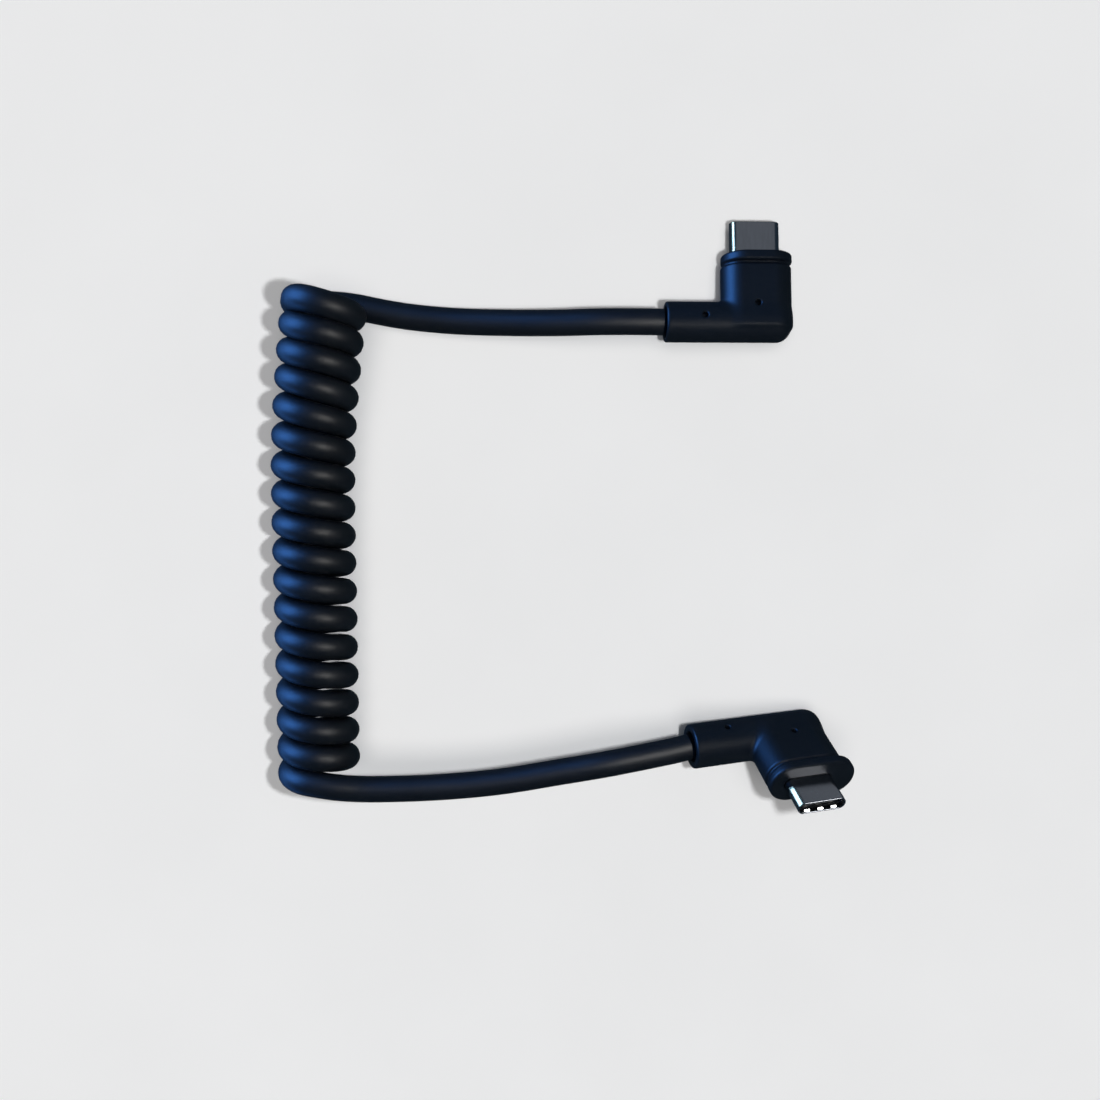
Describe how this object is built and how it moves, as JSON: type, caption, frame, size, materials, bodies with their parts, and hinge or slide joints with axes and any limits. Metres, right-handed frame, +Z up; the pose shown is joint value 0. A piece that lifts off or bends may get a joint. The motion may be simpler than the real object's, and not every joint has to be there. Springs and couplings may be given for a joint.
{
  "type": "coiled usb cable",
  "caption": "Short coiled cable in black with a right-angle USB-C plug on each end, for joining two devices side by side.",
  "frame": {"origin": "on the floor that the cable lies on, below the middle of the two plugs' bounding box", "axes": "+X from the coil towards the plugs, +Y along the coil from plug_b's end to plug_a's end, +Z up from the floor"},
  "size_m": [0.0966, 0.0961, 0.0205],
  "materials": {
    "cable_jacket": "matt, slightly silky black",
    "moulded_plastic": "fine-textured black",
    "drawn_steel": "satin, plated",
    "block_plastic": "matt black",
    "spring_steel": "bright"
  },
  "bodies": {
    "root": {"lead_a": "cable_jacket", "coil": "cable_jacket", "lead_b": "cable_jacket", "plug_a_overmold": "moulded_plastic", "plug_a_shell": "drawn_steel", "plug_a_contact_block": "block_plastic", "plug_a_spring_upper": "spring_steel", "plug_a_spring_lower": "spring_steel", "plug_b_overmold": "moulded_plastic", "plug_b_shell": "drawn_steel", "plug_b_contact_block": "block_plastic", "plug_b_spring_upper": "spring_steel", "plug_b_spring_lower": "spring_steel"}
  },
  "joints": []
}
